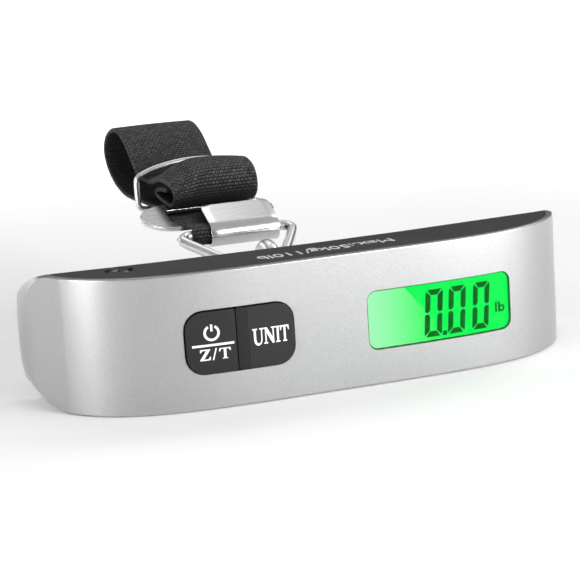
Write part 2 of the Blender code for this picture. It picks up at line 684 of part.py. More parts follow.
def make_hook():
    rod_start, rod_end = -4.5, EYE_Y - EYE_RADIUS + 0.4
    rod = cylinder("rod", (0, (rod_start + rod_end) / 2, PULL_Z), ROD, rod_end - rod_start, "Y", 20)
    ring = [(EYE_RADIUS + a, b) for a, b in arc((0, 0), EYE_WIRE, 0, 324, 9)]
    place = at(0, EYE_Y, PULL_Z) @ Matrix.Rotation(math.pi / 2, 4, "Y")
    eye = turned("eye", ring, place, 28)
    finish_part(combine(rod, [eye], "UNION"), "load_hook", "polished_steel")
    hexagon = [(4.0 * math.cos(math.radians(60 * i)), PULL_Z + 4.0 * math.sin(math.radians(60 * i)))
               for i in range(6)]
    nut = prism("nut", hexagon, -2.1, 1.2, "Y")
    nut = combine(nut, [cylinder("nut_bore", (0, 0, PULL_Z), ROD + GAP, 20, "Y")], "DIFFERENCE")
    finish_part(nut, "hook_nut", "spring_steel")
    washer = [(ROD + 0.35, 0), (4.6, 0), (4.6, 1.2), (ROD + 0.35, 1.2)]
    place = at(0, 2.7, PULL_Z) @ Matrix.Rotation(math.pi / 2, 4, "X")
    finish_part(turned("washer", washer, place), "hook_washer", "spring_steel")
    bush = [(ROD + GAP, -5.0), (4.2, -5.0), (4.2, 0.3), (6.4, 0.3), (6.4, 1.4), (5.9, 1.9), (3.6, 2.8),
            (ROD + GAP, 2.8)]
    place = at(0, BACK_Y, PULL_Z) @ Matrix.Rotation(-math.pi / 2, 4, "X")
    finish_part(turned("bush", bush, place), "hook_bushing", "black_plastic")


def ring_outline():
    """The ring's centre line in its own plane: across, and away from the bar towards the eye."""
    base_angle = math.atan2(RING_HEIGHT, RING_HALF)
    corner, apex = 3.0, 4.4
    reach = corner / math.tan(base_angle / 2)
    left = (-RING_HALF + reach, corner)
    half_apex = math.pi / 2 - base_angle
    top = (0.0, RING_HEIGHT - apex / math.sin(half_apex))
    base = math.degrees(base_angle)
    outline = arc((-left[0], left[1]), corner, -90, 90 - base, 4)
    outline += arc(top, apex, 90 - base, 90 + base, 6)
    outline += arc(left, corner, 90 + base, 270, 4)
    return outline


def make_ring():
    """The triangular ring: its bar carries the strap and its apex hangs in the hook's eye."""
    slope_y, slope_z = -math.cos(RING_SLOPE), -math.sin(RING_SLOPE)
    points = [(across, BAR_Y + away * slope_y, BAR_Z + away * slope_z) for across, away in ring_outline()]
    finish_part(wire("ring", points, RING_WIRE, True), "triangle_ring", "polished_steel")


SLIDER = (74.0, 28.6)      # middle of the oval slider, Y and Z
SLIDER_SLOPE = 12.0
SLIDER_THICK = 1.2
SLIDER_DEPTH = 18.0
SLIDER_WIDTH = 38.0


def strap_path():
    """The webbing's centre line: round the ring's bar, through the slider, round the loop and the fold."""
    wrap = RING_WIRE + 0.25 + WEB / 2
    path = [(69.0, BAR_Z - wrap - 0.1), (64.0, BAR_Z - wrap)]
    path += arc((BAR_Y, BAR_Z), wrap, 270, 90, 8)
    path += smooth_route([(62.5, BAR_Z + wrap + 0.1), (65.0, 28.45), (69.2, 29.25), (73.8, 28.6),
                          (78.4, 27.9), (83.2, 28.8), (90.0, LOWER_RUN_Z)], 2)
    path += smooth_route([(94.0, LOWER_RUN_Z), (104.0, LOWER_RUN_Z), (112.0, 29.0), (120.6, 29.4),
                          (129.0, 31.8), (135.2, 36.0), (137.2, 40.6), (134.6, 44.8), (129.0, 47.4),
                          (123.2, 47.7), (117.0, 45.4), (111.4, 41.2), (106.6, 37.5),
                          (102.8, UPPER_RUN_Z + 0.1), (99.0, UPPER_RUN_Z)], 2)
    path += smooth_route([(94.8, UPPER_RUN_Z + 0.1), (89.6, 38.4), (84.6, 41.0), (79.6, 41.7),
                          (75.2, 40.3), (73.0, 37.2), (73.4, 33.7), (76.8, 31.8), (83.2, 32.1),
                          (88.0, 32.9), (89.4, 34.4), (87.2, 36.0), (83.0, 37.1), (79.0, 37.5)], 2)
    return path


def make_strap():
    made = ribbon("webbing_strap", strap_path(), STRAP_HALF, WEB, STRAP_DRIFT)
    finish_part(made, "strap", "webbing", 60)


def make_strap_clamp():
    """A folded steel plate that closes the webbing round the ring's bar, with its longer lip on top."""
    inner = RING_WIRE + 0.25 + WEB + 0.2
    plate = 0.7
    middle = inner + plate / 2
    lip_angle = 23.0
    turn = [(BAR_Y + middle * math.cos(math.radians(a)), BAR_Z + middle * math.sin(math.radians(a)))
            for a in (90 + lip_angle + i * (180 - lip_angle) / 10 for i in range(11))]
    along = (math.cos(math.radians(lip_angle)), math.sin(math.radians(lip_angle)))
    upper_lip = 8.8
    lower_lip = 5.5
    path = [(turn[0][0] + along[0] * upper_lip, turn[0][1] + along[1] * upper_lip)]
    path += turn + [(turn[-1][0] + lower_lip, turn[-1][1] - 0.1)]
    clamp = ribbon("clamp", path, 9.6, plate, 0.0, 2.1)
    finish_part(clamp, "strap_clamp", "polished_steel")


def make_slider():
    """The oval slider: a flat steel link with one slot, which the webbing passes over, through and under."""
    half = SLIDER_WIDTH / 2
    radius = SLIDER_DEPTH / 2
    outline = arc((half - radius, 0), radius, -90, 90, 10)
    outline += arc((radius - half, 0), radius, 90, 270, 10)
    plate = prism("slider_plate", outline, -SLIDER_THICK / 2, SLIDER_THICK / 2)
    slot = prism("slider_slot", rounded_rectangle(-11.3, 15.5, -4.6, 4.4, [1.5] * 4, 3), -3, 3)
    made = combine(plate, [slot], "DIFFERENCE")
    centre_x = STRAP_DRIFT * (SLIDER[0] - BAR_Y) - 2.6
    made.data.transform(at(centre_x, *SLIDER) @ Matrix.Rotation(math.radians(SLIDER_SLOPE), 4, "X"))
    finish_part(made, "strap_slider", "polished_steel")


def make_keeper():
    """The wire keeper that gathers the strap's two runs: a wide loop with an arched top."""
    room = WEB / 2 + 0.35 + KEEPER_WIRE
    low, high = LOWER_RUN_Z - room, UPPER_RUN_Z + room
    left, right = KEEPER_X - KEEPER_HALF, KEEPER_X + KEEPER_HALF
    outline = rounded_rectangle(left, right, low, high, [1.9] * 4, 3)
    arch = [(left + (right - left) * i / 8, high + KEEPER_ARCH * math.sin(math.pi * i / 8))
            for i in range(7, 0, -1)]
    outline = outline[:12] + arch + outline[12:]
    points = [(x, KEEPER_Y, z) for x, z in outline]
    finish_part(wire("keeper", points, KEEPER_WIRE, True), "strap_keeper", "polished_steel")


# ---------------------------------------------------------------- joints

def joint_frame(name, place, pieces, parent=None):
    """An empty on a joint's axis that carries the pieces and the next joint's frame."""
    frame = add_object(name, None, PARTS)
    frame.empty_display_size = 5 * MM
    frame.location = Vector(place) * MM
    if parent:
        frame.parent = parent
        frame.location = Vector(place) * MM - parent.matrix_world.translation
    bpy.context.view_layer.update()
    for piece in pieces:
        moved = bpy.data.objects[piece]
        moved.data.transform(Matrix.Translation(-frame.matrix_world.translation))
        moved.parent = frame
    return frame


def ring_apex():
    """The middle of the ring's wire where it hangs in the eye, as Y and Z."""
    away = max(height for _, height in ring_outline())
    return BAR_Y - away * math.cos(RING_SLOPE), BAR_Z - away * math.sin(RING_SLOPE)


def add_joint_frames():
    joint_frame("battery_cap_turn", (*BATTERY, 0), ["battery_cap"])
    key_middle = (KEYS[2] + KEYS[3]) / 2
    joint_frame("power_press", ((KEYS[0] + KEY_SPLIT_X) / 2, KEY_BACK_Y, key_middle), ["power_button"])
    joint_frame("unit_press", ((KEYS[1] + KEY_SPLIT_X) / 2, KEY_BACK_Y, key_middle), ["unit_button"])
    hook = joint_frame("hook_swivel", (0, BACK_Y, PULL_Z), ["load_hook", "hook_nut", "hook_washer"])
    ring = joint_frame("ring_swing", (0, *ring_apex()), ["triangle_ring"], hook)
    strap = joint_frame("strap_swing", (0, BAR_Y, BAR_Z), ["strap", "strap_clamp", "strap_slider"], ring)
    joint_frame("keeper_slide", (KEEPER_X, KEEPER_Y, 33), ["strap_keeper"], strap)


# ---------------------------------------------------------------- assembly

clear_scene()
PARTS = new_collection("luggage_scale")
CUTTERS = new_collection("cutters")

whole_body = as_cutter(body_solid("whole_body"))
make_front_shell(whole_body)
make_rear_housing(whole_body)
make_cover_screws()
make_battery_parts()
make_display()
make_keys_and_switches()
make_electronics()
make_load_cell()
make_hook()
make_ring()
make_strap()
make_strap_clamp()
make_slider()
make_keeper()
add_joint_frames()
for leftover in list(CUTTERS.objects):
    as_cutter(leftover)
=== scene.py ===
"""Looks of the digital luggage scale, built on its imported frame.

The scale stands on a flat face: +Z is up, the display faces -Y, and the hook and strap reach out along +Y.
Numbers written in millimetres are multiplied by MM where an object is made.
"""
import json
import math

import bmesh
import bpy
from mathutils import Matrix, Vector
from mathutils.bvhtree import BVHTree


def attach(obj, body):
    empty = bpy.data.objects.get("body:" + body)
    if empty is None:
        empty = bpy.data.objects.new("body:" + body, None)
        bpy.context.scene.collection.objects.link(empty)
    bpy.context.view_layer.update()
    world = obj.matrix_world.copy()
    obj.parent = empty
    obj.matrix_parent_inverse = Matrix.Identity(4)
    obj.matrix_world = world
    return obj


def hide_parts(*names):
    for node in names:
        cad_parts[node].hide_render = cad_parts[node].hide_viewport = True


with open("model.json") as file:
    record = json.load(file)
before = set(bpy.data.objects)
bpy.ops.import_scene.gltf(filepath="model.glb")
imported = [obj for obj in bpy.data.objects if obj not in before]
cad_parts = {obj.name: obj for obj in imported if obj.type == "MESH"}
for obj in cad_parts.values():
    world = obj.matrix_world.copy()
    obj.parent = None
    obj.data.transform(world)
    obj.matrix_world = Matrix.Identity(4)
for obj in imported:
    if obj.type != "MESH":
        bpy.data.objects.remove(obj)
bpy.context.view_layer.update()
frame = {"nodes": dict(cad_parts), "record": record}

MM = 0.001

# The body's outline, as in the frame
HEIGHT = 32.2
HALF_RIDGE = 65.0
FRONT_DEPTH = 21.0
FRONT_POWER = 4.7
FRONT_ROUNDING = 1.42

# Display window and keys, in X and Z
WINDOW = (6.6, 44.4, 8.3, 22.6)
WINDOW_CORNER = 2.5

# Strap and metalwork
PULL_Z = 18.5
EYE_Y = 31.5
EYE_WIRE = 1.9
EYE_RADIUS = 7.2
ROD = 2.0
BAR_Y = 60.0
BAR_Z = 25.5
RING_WIRE = 1.45
STRAP_HALF = 12.2
WEB = 1.0
STRAP_DRIFT = -0.06
LOWER_RUN_Z = 29.2
UPPER_RUN_Z = 36.0
RIB = 0.86               # pitch of the webbing's ribs, along the strap
YARN = 1.20              # pitch of its yarns, across the strap

# Floor and camera
FLOOR_HALF = 20.0        # metres, so that its far edge lies close to the horizon
CAMERA_PLACE = (-141.69, -416.79, 116.06)
CAMERA_DEGREES = (18.147, 12.265, -3.844)    # azimuth, elevation and roll
CAMERA_LENS = 115.4


# ---------------------------------------------------------------- materials

def shader_of(name, colour, roughness, metallic=0.0, **sockets):
    """A new node material and its shader, with the constants set on the shader's own sockets."""
    made = bpy.data.materials.new(name)
    made.use_nodes = True
    shader = made.node_tree.nodes["Principled BSDF"]
    shader.inputs["Base Color"].default_value = (*colour, 1)
    shader.inputs["Roughness"].default_value = roughness
    shader.inputs["Metallic"].default_value = metallic
    for socket, value in sockets.items():
        shader.inputs[socket.replace("_", " ")].default_value = value
    return made, made.node_tree, shader


def add_node(tree, kind, **settings):
    node = tree.nodes.new(kind)
    for name, value in settings.items():
        if name in node.inputs:
            node.inputs[name].default_value = value
        else:
            setattr(node, name, value)
    return node


def object_space(tree, scale=(1, 1, 1)):
    """Object coordinates in metres, stretched by the scale."""
    place = add_node(tree, "ShaderNodeTexCoord")
    stretch = add_node(tree, "ShaderNodeMapping", Scale=scale)
    tree.links.new(place.outputs["Object"], stretch.inputs["Vector"])
    return stretch.outputs["Vector"]


def noise(tree, vector, scale, detail=2.0, roughness=0.5):
    texture = add_node(tree, "ShaderNodeTexNoise", Scale=scale, Detail=detail, Roughness=roughness)
    tree.links.new(vector, texture.inputs["Vector"])
    return texture.outputs["Fac"]


def ramp(tree, value, low, high, positions=(0.3, 0.7)):
    """A value turned into a colour between two colours."""
    node = add_node(tree, "ShaderNodeValToRGB")
    for element, place, colour in zip(node.color_ramp.elements, positions, (low, high)):
        element.position = place
        element.color = (*colour, 1)
    tree.links.new(value, node.inputs["Fac"])
    return node.outputs["Color"]


def spread(tree, value, low, high):
    node = add_node(tree, "ShaderNodeMapRange")
    node.inputs["To Min"].default_value = low
    node.inputs["To Max"].default_value = high
    tree.links.new(value, node.inputs["Value"])
    return node.outputs["Result"]


def bump(tree, shader, height, distance, strength=1.0):
    node = add_node(tree, "ShaderNodeBump", Strength=strength, Distance=distance)
    tree.links.new(height, node.inputs["Height"])
    tree.links.new(node.outputs["Normal"], shader.inputs["Normal"])


def silver_paint():
    """Satin silver paint: fine metal flakes that vary in tone and tilt, under a thin clear coat."""
    made, tree, shader = shader_of("silver_paint", (0.39, 0.39, 0.395), 0.33, 0.8,
                                   Coat_Weight=0.15, Coat_Roughness=0.25)
    space = object_space(tree)
    flakes = noise(tree, space, 2600, 3.0, 0.7)
    tree.links.new(ramp(tree, flakes, (0.355, 0.356, 0.362), (0.425, 0.426, 0.429)),
                   shader.inputs["Base Color"])
    patches = noise(tree, space, 420, 2.0)
    tree.links.new(spread(tree, patches, 0.30, 0.36), shader.inputs["Roughness"])
    bump(tree, shader, flakes, 0.00002, 0.3)
    return made


def moulded_black(name, colour, roughness, grain=3200, depth=0.00003, gloss=0.5):
    """Moulded dark plastic with a fine spark-eroded grain and faint cloudiness."""
    made, tree, shader = shader_of(name, colour, roughness, Specular_IOR_Level=gloss)
    space = object_space(tree)
    cloud = noise(tree, space, 90, 3.0)
    low, high = (tuple(channel * factor for channel in colour) for factor in (0.85, 1.18))
    tree.links.new(ramp(tree, cloud, low, high), shader.inputs["Base Color"])
    texture = noise(tree, space, grain, 2.0, 0.6)
    tree.links.new(spread(tree, texture, roughness - 0.06, roughness + 0.08), shader.inputs["Roughness"])
    bump(tree, shader, texture, depth, 0.5)
    return made


def steel(name, colour, roughness, stretch=(1, 1, 1), streak=0.03):
    """Plated steel with fine polishing lines along the direction that the stretch leaves long."""
    made, tree, shader = shader_of(name, colour, roughness, 1.0)
    space = object_space(tree, stretch)
    lines = noise(tree, space, 900, 4.0, 0.6)
    low, high = (tuple(channel * factor for channel in colour) for factor in (0.93, 1.04))
    tree.links.new(ramp(tree, lines, low, high), shader.inputs["Base Color"])
    tree.links.new(spread(tree, lines, roughness - streak, roughness + streak), shader.inputs["Roughness"])
    return made


def webbing_cloth():
    """Black nylon webbing: rows of short floats, each row half a yarn on from the last, dark in the gaps;
    painted shade from ambient occlusion darkens its folds, creases and the inside of its loop.
    """
    made, tree, shader = shader_of("webbing", (0.02, 0.02, 0.02), 0.6, Sheen_Weight=0.03,
                                   Sheen_Roughness=0.4, Specular_IOR_Level=0.12)
    place = add_node(tree, "ShaderNodeUVMap", uv_map="web")
    weave = add_node(tree, "ShaderNodeTexBrick", offset=0.5, Scale=1.0)
    weave.inputs["Color1"].default_value = (1, 1, 1, 1)
    weave.inputs["Color2"].default_value = (0.7, 0.7, 0.7, 1)
    weave.inputs["Mortar"].default_value = (0, 0, 0, 1)
    weave.inputs["Mortar Size"].default_value = 0.16
    weave.inputs["Mortar Smooth"].default_value = 1.0
    weave.inputs["Brick Width"].default_value = YARN
    weave.inputs["Row Height"].default_value = RIB
    tree.links.new(place.outputs["UV"], weave.inputs["Vector"])
    fuzz = noise(tree, object_space(tree), 2600, 3.0, 0.7)
    worn = add_node(tree, "ShaderNodeMix", data_type="RGBA", blend_type="MULTIPLY")
    worn.inputs["Factor"].default_value = 1.0
    tree.links.new(weave.outputs["Color"], worn.inputs[6])
    tree.links.new(ramp(tree, fuzz, (0.55, 0.55, 0.55), (1.0, 1.0, 1.0), (0.35, 0.65)), worn.inputs[7])
    dusty = ramp(tree, worn.outputs[2], (0.0008, 0.0008, 0.0008), (0.125, 0.125, 0.13), (0.30, 1.0))
    # Painted shade: ambient occlusion, raised to a power, darkens the colour in the folds, creases and the
    # inside of the loop.
    painted_crease_shade_ao = add_node(tree, "ShaderNodeAmbientOcclusion", samples=6, Distance=0.03)
    painted_shade_power = add_node(tree, "ShaderNodeMath", operation="POWER")
    painted_shade_power.inputs[1].default_value = 2.6
    tree.links.new(painted_crease_shade_ao.outputs["AO"], painted_shade_power.inputs[0])
    painted_shade_mix = add_node(tree, "ShaderNodeMix", data_type="RGBA", blend_type="MULTIPLY")
    painted_shade_mix.inputs["Factor"].default_value = 1.0
    tree.links.new(dusty, painted_shade_mix.inputs[6])
    tree.links.new(painted_shade_power.outputs["Value"], painted_shade_mix.inputs[7])
    tree.links.new(painted_shade_mix.outputs[2], shader.inputs["Base Color"])
    bump(tree, shader, worn.outputs[2], 0.0003, 1.0)
    return made


def glowing_green():
    """The lit display: green light, with a painted reflection, a glare that makes it paler towards its left
    end, up to a slanted edge.
    """
    made, tree, shader = shader_of("display_glow", (0.0, 0.02, 0.003), 0.6, Emission_Strength=0.95,
                                   Specular_IOR_Level=0.0)
    place = add_node(tree, "ShaderNodeSeparateXYZ")
    tree.links.new(object_space(tree), place.inputs["Vector"])

    def ramp_along(value, start, end):
        node = add_node(tree, "ShaderNodeMapRange", interpolation_type="SMOOTHSTEP")
        node.inputs["From Min"].default_value = start
        node.inputs["From Max"].default_value = end
        tree.links.new(value, node.inputs["Value"])
        return node.outputs["Result"]

    def combined(first, second, operation, factor=None):
        node = add_node(tree, "ShaderNodeMath", operation=operation)
        tree.links.new(first, node.inputs[0])
        if factor is None:
            tree.links.new(second, node.inputs[1])
        else:
            node.inputs[1].default_value = factor
        return node.outputs["Value"]

    # Painted reflection: a paler glare over the display's left end, up to a slanted edge, painted into its
    # emitted light.
    slant = combined(place.outputs["Z"], None, "MULTIPLY", 0.825)
    across = combined(place.outputs["X"], slant, "ADD")
    edge = ramp_along(across, 0.0350, 0.0346)
    near = ramp_along(place.outputs["X"], 0.027, 0.004)
    painted_glare = combined(edge, near, "MULTIPLY")
    tree.links.new(ramp(tree, painted_glare, (0.0, 1.0, 0.095), (0.42, 1.0, 0.56), (0.0, 1.0)),
                   shader.inputs["Emission Color"])
    return made


MATERIALS = {}


def make_materials():
    MATERIALS["silver_paint"] = silver_paint()
    MATERIALS["black_plastic"] = moulded_black("black_plastic", (0.031, 0.034, 0.033), 0.45, gloss=0.35)
    MATERIALS["button_plastic"] = moulded_black("button_plastic", (0.009, 0.0093, 0.0105), 0.30, 4200,
                                                0.00001, 0.35)
    MATERIALS["polished_steel"] = steel("polished_steel", (0.74, 0.74, 0.74), 0.25, (0.15, 1, 1), 0.012)
    MATERIALS["satin_wire"] = steel("satin_wire", (0.78, 0.78, 0.78), 0.34, (1, 1, 1), 0.02)
    MATERIALS["spring_steel"] = steel("spring_steel", (0.62, 0.62, 0.63), 0.32)
    MATERIALS["black_zinc"] = steel("black_zinc", (0.10, 0.10, 0.105), 0.42)
    MATERIALS["webbing"] = webbing_cloth()
    MATERIALS["display_glow"] = glowing_green()
    MATERIALS["display_ink"] = moulded_black("display_ink", (0.0, 0.085, 0.004), 0.6, 3000, 0.000001, 0.0)
    MATERIALS["legend_white"] = moulded_black("legend_white", (0.66, 0.66, 0.66), 0.5, 3000, 0.000002)
    glass, _, _ = shader_of("clear_lens", (0.97, 1.0, 0.97), 0.03, Transmission_Weight=1.0, IOR=1.17)
    MATERIALS["clear_lens"] = glass
    MATERIALS["diffuser"] = moulded_black("diffuser", (0.80, 0.85, 0.80), 0.45)
    MATERIALS["rubber"] = moulded_black("rubber", (0.03, 0.03, 0.03), 0.7)
    MATERIALS["board_green"] = moulded_black("board_green", (0.02, 0.16, 0.05), 0.4, 900, 0.00002)
    MATERIALS["component_black"] = moulded_black("component_black", (0.02, 0.02, 0.02), 0.5)
    MATERIALS["gauge_film"] = moulded_black("gauge_film", (0.70, 0.42, 0.10), 0.4)
    MATERIALS["cable_jacket"] = moulded_black("cable_jacket", (0.45, 0.03, 0.02), 0.45)


# ---------------------------------------------------------------- mesh helpers

def piece_from(name, shape, material, body, sharp=35):
    """Turns a bmesh into a named piece that rides on a body."""
    mesh = bpy.data.meshes.new(name)
    shape.to_mesh(mesh)
    shape.free()
    mesh.shade_smooth()
    mesh.set_sharp_from_angle(angle=math.radians(sharp))
    made = bpy.data.objects.new(name, mesh)
    bpy.context.scene.collection.objects.link(made)
    mesh.materials.append(MATERIALS[material])
    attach(made, body)
    return made


def welded(node):
    """A CAD node's mesh as a bmesh, welded, with its flat stretches made single faces."""
    shape = bmesh.new()
    shape.from_mesh(frame["nodes"][node].data)
    bmesh.ops.remove_doubles(shape, verts=shape.verts, dist=0.000002)
    bmesh.ops.dissolve_limit(shape, angle_limit=math.radians(0.6), verts=shape.verts, edges=shape.edges)
    return shape


def sharp_edges(shape, degrees, wanted=None):
    return [edge for edge in shape.edges if len(edge.link_faces) == 2
            and edge.calc_face_angle(0) > math.radians(degrees) and (wanted is None or wanted(edge))]


def refined(node, material, body, width, degrees=32, first=None, segments=2):
    """A CAD node with its sharp edges rounded over; first = (width, test) rounds some edges more."""
    shape = welded(node)
    if first:
        bmesh.ops.bevel(shape, geom=sharp_edges(shape, degrees, first[1]), offset=first[0] * MM, segments=5,
                        profile=0.5, affect="EDGES", clamp_overlap=True)
    bmesh.ops.bevel(shape, geom=sharp_edges(shape, degrees), offset=width * MM, segments=segments,
                    profile=0.5, affect="EDGES", clamp_overlap=True)
    made = piece_from(node + "_finish", shape, material, body, 30)
    made.modifiers.new("Even shading", "WEIGHTED_NORMAL").keep_sharp = True
    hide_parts(node)
    return made


def arc(centre, radius, start, end, steps):
    angles = [math.radians(start + (end - start) * i / steps) for i in range(steps + 1)]
    return [(centre[0] + radius * math.cos(a), centre[1] + radius * math.sin(a)) for a in angles]


def smooth_route(points, steps):
    """A smooth curve through the points, by Catmull-Rom."""
    padded = [points[0], *points, points[-1]]
    route = [points[0]]
    for a, b, c, d in zip(padded, padded[1:], padded[2:], padded[3:]):
        for i in range(1, steps + 1):
            t = i / steps
            route.append(tuple(0.5 * (2 * q + (r - p) * t + (2 * p - 5 * q + 4 * r - s) * t ** 2
                                      + (3 * q - p - 3 * r + s) * t ** 3) for p, q, r, s in zip(a, b, c, d)))
    return route


def front_y(x):
    """The bowed front face, as Y for an X, in millimetres."""
    share = min(1.0, abs(x) / HALF_RIDGE)
    return -FRONT_DEPTH * (1 - share ** FRONT_POWER) ** (1 / FRONT_ROUNDING)


def round_wire(node, material, body, swell):
    """A CAD wire made round: swollen a little and then subdivided, which draws it in again."""
    shape = bmesh.new()
    shape.from_mesh(frame["nodes"][node].data)
    bmesh.ops.remove_doubles(shape, verts=shape.verts, dist=0.000002)
    bmesh.ops.recalc_face_normals(shape, faces=shape.faces)
    bmesh.ops.join_triangles(shape, faces=shape.faces, angle_face_threshold=0.8, angle_shape_threshold=3.1)
    shape.normal_update()
    for vertex in shape.verts:
        vertex.co += vertex.normal * swell * MM
    made = piece_from(node + "_finish", shape, material, body, 180)
    smooth = made.modifiers.new("Round", "SUBSURF")
    smooth.levels = 2
    smooth.render_levels = 2
    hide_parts(node)
    return made


# ---------------------------------------------------------------- printed marks

def flat_outlines(outlines, cell=0.9):
    """Closed outlines, each a list of across and up in millimetres, as one flat bmesh cut into cells."""
    curve = bpy.data.curves.new("outline", "CURVE")
    curve.dimensions = "2D"
    curve.fill_mode = "FRONT"
    for outline in outlines:
        spline = curve.splines.new("POLY")
        spline.points.add(len(outline) - 1)
        for point, (across, up) in zip(spline.points, outline):
            point.co = (across, up, 0, 1)
        spline.use_cyclic_u = True
    return flattened(curve, cell)


def flattened(curve, cell):
    made = bpy.data.objects.new("outline", curve)
    bpy.context.scene.collection.objects.link(made)
    bpy.context.view_layer.update()
    mesh = bpy.data.meshes.new_from_object(made.evaluated_get(bpy.context.evaluated_depsgraph_get()))
    bpy.data.objects.remove(made, do_unlink=True)
    shape = bmesh.new()
    shape.from_mesh(mesh)
    bpy.data.meshes.remove(mesh)
    bmesh.ops.remove_doubles(shape, verts=shape.verts, dist=0.0005)
    bmesh.ops.dissolve_limit(shape, angle_limit=0.01, verts=shape.verts, edges=shape.edges)
    low = min(vertex.co.x for vertex in shape.verts)
    high = max(vertex.co.x for vertex in shape.verts)
    for i in range(1, int((high - low) / cell) + 1):
        geometry = list(shape.verts) + list(shape.edges) + list(shape.faces)
        bmesh.ops.bisect_plane(shape, geom=geometry, plane_co=(low + i * cell, 0, 0), plane_no=(1, 0, 0))
    bmesh.ops.triangulate(shape, faces=[face for face in shape.faces if len(face.verts) > 4])
    return shape


def text_shape(text, size, bold=0.0):
    """Words in Blender's own letters, as a flat bmesh in millimetres."""
    curve = bpy.data.curves.new("words", "FONT")
    curve.body = text
    curve.size = size
    curve.resolution_u = 3
    curve.offset = bold
    curve.fill_mode = "FRONT"
    return flattened(curve, 1.2)


def thickened(flat, near, far):
    """A closed solid from a flat shape: near and far turn across and up into points, in millimetres."""
    shape = bmesh.new()
    corners = {vertex: (shape.verts.new(Vector(near(vertex.co.x, vertex.co.y)) * MM),
                        shape.verts.new(Vector(far(vertex.co.x, vertex.co.y)) * MM)) for vertex in flat.verts}
    for face in flat.faces:
        shape.faces.new([corners[vertex][0] for vertex in face.verts])
        shape.faces.new([corners[vertex][1] for vertex in reversed(face.verts)])
    for edge in flat.edges:
        if len(edge.link_faces) == 1:
            a, b = edge.verts
            shape.faces.new((corners[a][0], corners[a][1], corners[b][1], corners[b][0]))
    flat.free()
    bmesh.ops.recalc_face_normals(shape, faces=shape.faces)
    return shape


def print_on(name, flat, place, material, body, thickness=0.05):
    """Lays a flat shape on a surface: place turns across and up into a point and an outward direction."""
    def above(lift):
        def at(across, up):
            point, outward = place(across, up)
            return Vector(point) + Vector(outward) * lift
        return at

    return piece_from(name, thickened(flat, above(thickness), above(0.005)), material, body)


def surface_finder(piece):
    """A place function that drops points straight back onto a piece's front."""
    graph = bpy.context.evaluated_depsgraph_get()
    tree = BVHTree.FromObject(piece, graph)

    def place(across, up):
        hit, normal, _, _ = tree.ray_cast(Vector((across, -60, up)) * MM, Vector((0, 1, 0)))
        return hit / MM, normal if normal.y < 0 else -normal

    return place


def serif(letter, x, z, width, height):
    """One condensed serif capital as an outline, from its lower left corner."""
    bar, foot = 0.07, 0.10
    if letter == "I":
        shape = [(0, 0), (1, 0), (1, bar), (0.72, foot), (0.72, 1 - foot), (1, 1 - bar), (1, 1), (0, 1),
                 (0, 1 - bar), (0.28, 1 - foot), (0.28, foot), (0, bar)]
    elif letter == "T":
        shape = [(0.27, 0), (0.73, 0), (0.73, bar), (0.61, foot), (0.61, 0.9), (0.80, 0.9), (0.92, 0.70),
                 (1, 0.70), (0.97, 1), (0.03, 1), (0, 0.70), (0.08, 0.70), (0.20, 0.9), (0.39, 0.9),
                 (0.39, foot), (0.27, bar)]
    elif letter == "Z":
        shape = [(0, 0), (0.95, 0), (1, 0.32), (0.91, 0.32), (0.78, 0.11), (0.36, 0.11), (0.96, 0.93),
                 (0.96, 1), (0.06, 1), (0.03, 0.72), (0.12, 0.72), (0.24, 0.89), (0.62, 0.89), (0, 0.07)]
    elif letter == "/":
        shape = [(0, -0.03), (0.28, -0.03), (1, 1.03), (0.72, 1.03)]
    elif letter == "N":
        shape = [(0, 0), (0.34, 0), (0.34, bar), (0.22, foot), (0.22, 0.70), (0.72, 0), (0.88, 0),
                 (0.88, 0.9), (1, 1 - bar), (1, 1), (0.66, 1), (0.66, 1 - bar), (0.78, 0.9),
                 (0.78, 0.34), (0.30, 1),
                 (0, 1), (0, 1 - bar), (0.12, 1 - foot), (0.12, foot), (0, bar)]
    else:
        outer = arc((0.5, 0.32), 0.38, 180, 360, 10)
        inner = arc((0.52, 0.32), 0.26, 360, 180, 8)
        inner = [(px if px > 0.5 else px + 0.06, pz) for px, pz in inner]
        shape = outer + [(0.88, 0.9), (1, 1 - bar), (1, 1), (0.64, 1), (0.64, 1 - bar), (0.78, 0.9)]
        shape += inner
        shape += [(0.32, 0.9), (0.44, 1 - bar), (0.44, 1), (0, 1), (0, 1 - bar), (0.12, 0.9)]
    return [(x + px * width, z + pz * height) for px, pz in shape]


def make_key_legends(power, unit):
    centre, radius, stroke = (-31.4, 18.15), 1.62, 0.58
    icon = arc(centre, radius + stroke / 2, 118, 422, 26) + arc(centre, radius - stroke / 2, 422, 118, 22)
    left, right = centre[0] - 0.27, centre[0] + 0.27
    tick = [(left, 18.5), (right, 18.5), (right, 20.15), (left, 20.15)]
    line = [(-36.1, 15.05), (-26.3, 15.05), (-26.3, 15.58), (-36.1, 15.58)]
    letters = [serif("Z", -34.5, 11.85, 2.55, 2.6), serif("/", -31.6, 11.85, 1.15, 2.6),
               serif("T", -30.0, 11.85, 2.8, 2.55)]
    shape = flat_outlines([icon, tick, line] + letters)
    print_on("power_legend", shape, surface_finder(power), "legend_white", "power_key")
    letters = [serif("U", -21.9, 13.95, 2.65, 3.8), serif("N", -19.2, 13.95, 2.75, 3.8),
               serif("I", -16.35, 13.95, 1.05, 3.8), serif("T", -15.25, 13.95, 2.15, 3.8)]
    print_on("unit_legend", flat_outlines(letters), surface_finder(unit), "legend_white",
             "unit_key")


